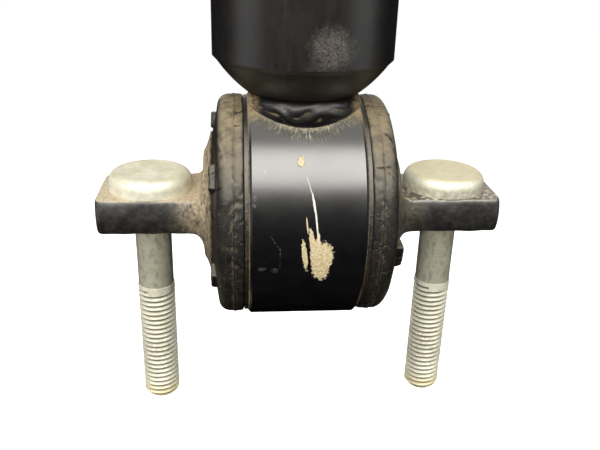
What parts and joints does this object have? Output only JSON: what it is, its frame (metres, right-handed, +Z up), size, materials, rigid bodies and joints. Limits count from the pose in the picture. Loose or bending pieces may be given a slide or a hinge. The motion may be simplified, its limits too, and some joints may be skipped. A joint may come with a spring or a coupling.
{
  "type": "rear shock absorber",
  "caption": "Twin-tube telescopic rear shock absorber with a bar-pin eye and studs below, a bushed eye above and a steel dust tube.",
  "frame": {"origin": "midpoint between the two lower studs, on the underside of the bar pin's ears, where the shock seats on its bracket", "axes": "+Z up along the damper from the bar pin to the upper eye, +X along the bar pin and the upper eye's bolt, +Y across them"},
  "size_m": [0.125, 0.0704, 0.6315],
  "materials": {
    "bar_pin_paint": "black e-coat on forged steel, dusty tan in the hollows, worn to steel along the edges",
    "stud_coating": "dull pale zinc-flake coating, dark in the thread roots",
    "eye_paint": "gloss black paint with small chips",
    "weld_paint": "rippled weld bead under black paint, dusty at its foot",
    "tube_paint": "semi-gloss black paint with a thin film of dust",
    "dust_paint": "semi-gloss black paint on thin pressed steel",
    "sleeve_steel": "bare rolled steel with a light brown film",
    "bush_rubber": "weathered dark grey-brown rubber with fine cracks",
    "inner_steel": "bright oiled steel",
    "cap_zinc": "zinc-plated pressed steel",
    "sintered_iron": "matt grey sintered iron with a fine grain",
    "bushing_bronze": "bronze bushing",
    "seal_rubber": "black nitrile rubber",
    "band_ptfe": "bronze-filled sliding plastic",
    "rod_chrome": "hard-chromed ground rod",
    "bump_foam": "microcellular polyurethane foam"
  },
  "bodies": {
    "bar_pin": {"bar_pin": "bar_pin_paint", "lower_studs": "stud_coating"},
    "cylinder": {"eye_ring": "eye_paint", "bush_outer_sleeve": "sleeve_steel", "rubber_bush": "bush_rubber", "eye_weld": "weld_paint", "base_cup": "tube_paint", "reservoir_tube": "tube_paint", "pressure_tube": "inner_steel", "base_valve_body": "sintered_iron", "base_valve_discs": "inner_steel", "base_intake_disc": "inner_steel", "base_valve_pin": "inner_steel", "rod_guide": "sintered_iron", "rod_guide_bushing": "bushing_bronze", "guide_seal_ring": "seal_rubber", "rod_seal": "seal_rubber", "end_cap": "inner_steel", "striker_cap": "cap_zinc"},
    "piston_band": {"piston_band": "band_ptfe"},
    "rod": {"piston_rod": "rod_chrome", "piston": "sintered_iron", "piston_check_disc": "inner_steel", "rebound_valve_discs": "inner_steel", "piston_nut": "inner_steel", "rebound_stop": "inner_steel", "rebound_bumper": "seal_rubber", "bump_stop": "bump_foam", "dust_tube": "dust_paint", "dust_cap": "dust_paint", "dust_cap_weld": "weld_paint", "upper_eye_weld": "weld_paint", "upper_eye_ring": "eye_paint", "upper_rubber_bush": "bush_rubber"},
    "upper_sleeve": {"upper_inner_sleeve": "sleeve_steel"}
  },
  "joints": [
    {"name": "lower_eye_swivel", "type": "hinge", "parent": "bar_pin", "child": "cylinder", "pos_m": [0, 0, 0.0055], "axis": [1, 0, 0], "range_deg": [-15, 15], "stiffness_Nm_per_rad": 60},
    {"name": "rod_slide", "type": "slide", "parent": "cylinder", "child": "piston_band", "axis": [0, 0, 1], "range_m": [-0.165, 0], "stiffness_N_per_m": 220, "springref_m": 0.42},
    {"name": "rod_spin", "type": "hinge", "parent": "piston_band", "child": "rod", "pos_m": [0, 0, 0.5455], "axis": [0, 0, 1], "continuous": true},
    {"name": "upper_eye_swivel", "type": "hinge", "parent": "rod", "child": "upper_sleeve", "pos_m": [0, 0, 0.5455], "axis": [1, 0, 0], "range_deg": [-15, 15], "stiffness_Nm_per_rad": 20}
  ]
}
